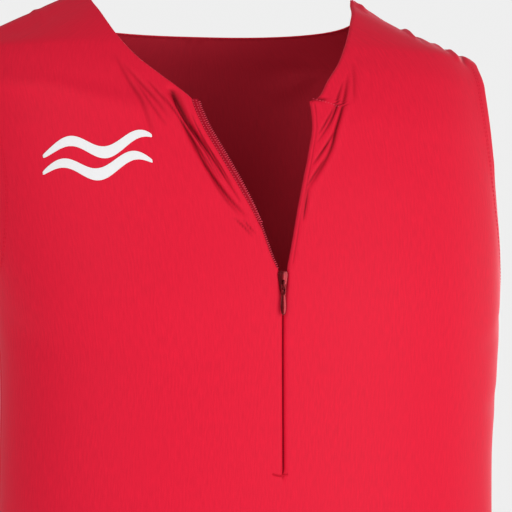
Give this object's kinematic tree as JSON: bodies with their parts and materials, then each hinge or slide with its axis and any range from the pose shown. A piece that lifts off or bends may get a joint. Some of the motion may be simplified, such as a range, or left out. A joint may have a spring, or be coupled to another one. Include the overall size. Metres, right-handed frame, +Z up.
{
  "type": "triathlon suit",
  "caption": "Sleeveless one-piece stretch suit in its worn, hollow form, with thigh-length legs and a half-open front zip.",
  "frame": {"origin": "midway between the two shoulder seams, at their mean height, where the wearer's shoulders carry the suit", "axes": "+Z up, -Y towards the front of the suit, +X towards the wearer's left"},
  "size_m": [0.3852, 0.2366, 0.872],
  "materials": {
    "suit_cloth": "satin warp-knit stretch cloth, red",
    "zip_tape": "matt woven tape, red",
    "zip_metal": "glossy dark red enamel",
    "print": "white heat-transfer print"
  },
  "bodies": {
    "suit": {"front": "suit_cloth", "back": "suit_cloth", "leg_right": "suit_cloth", "leg_left": "suit_cloth", "zip_tape_right": "zip_tape", "zip_tape_left": "zip_tape", "zip_tack": "zip_tape", "zip_slider": "zip_metal", "chest_motif_lower": "print", "chest_motif_upper": "print"},
    "pull": {"zip_pull": "zip_metal"}
  },
  "joints": [
    {"name": "pull_hinge", "type": "hinge", "parent": "suit", "child": "pull", "pos_m": [0.02221, -0.11694, -0.1871], "axis": [-1, 0, 0], "range_deg": [0, 175]}
  ]
}
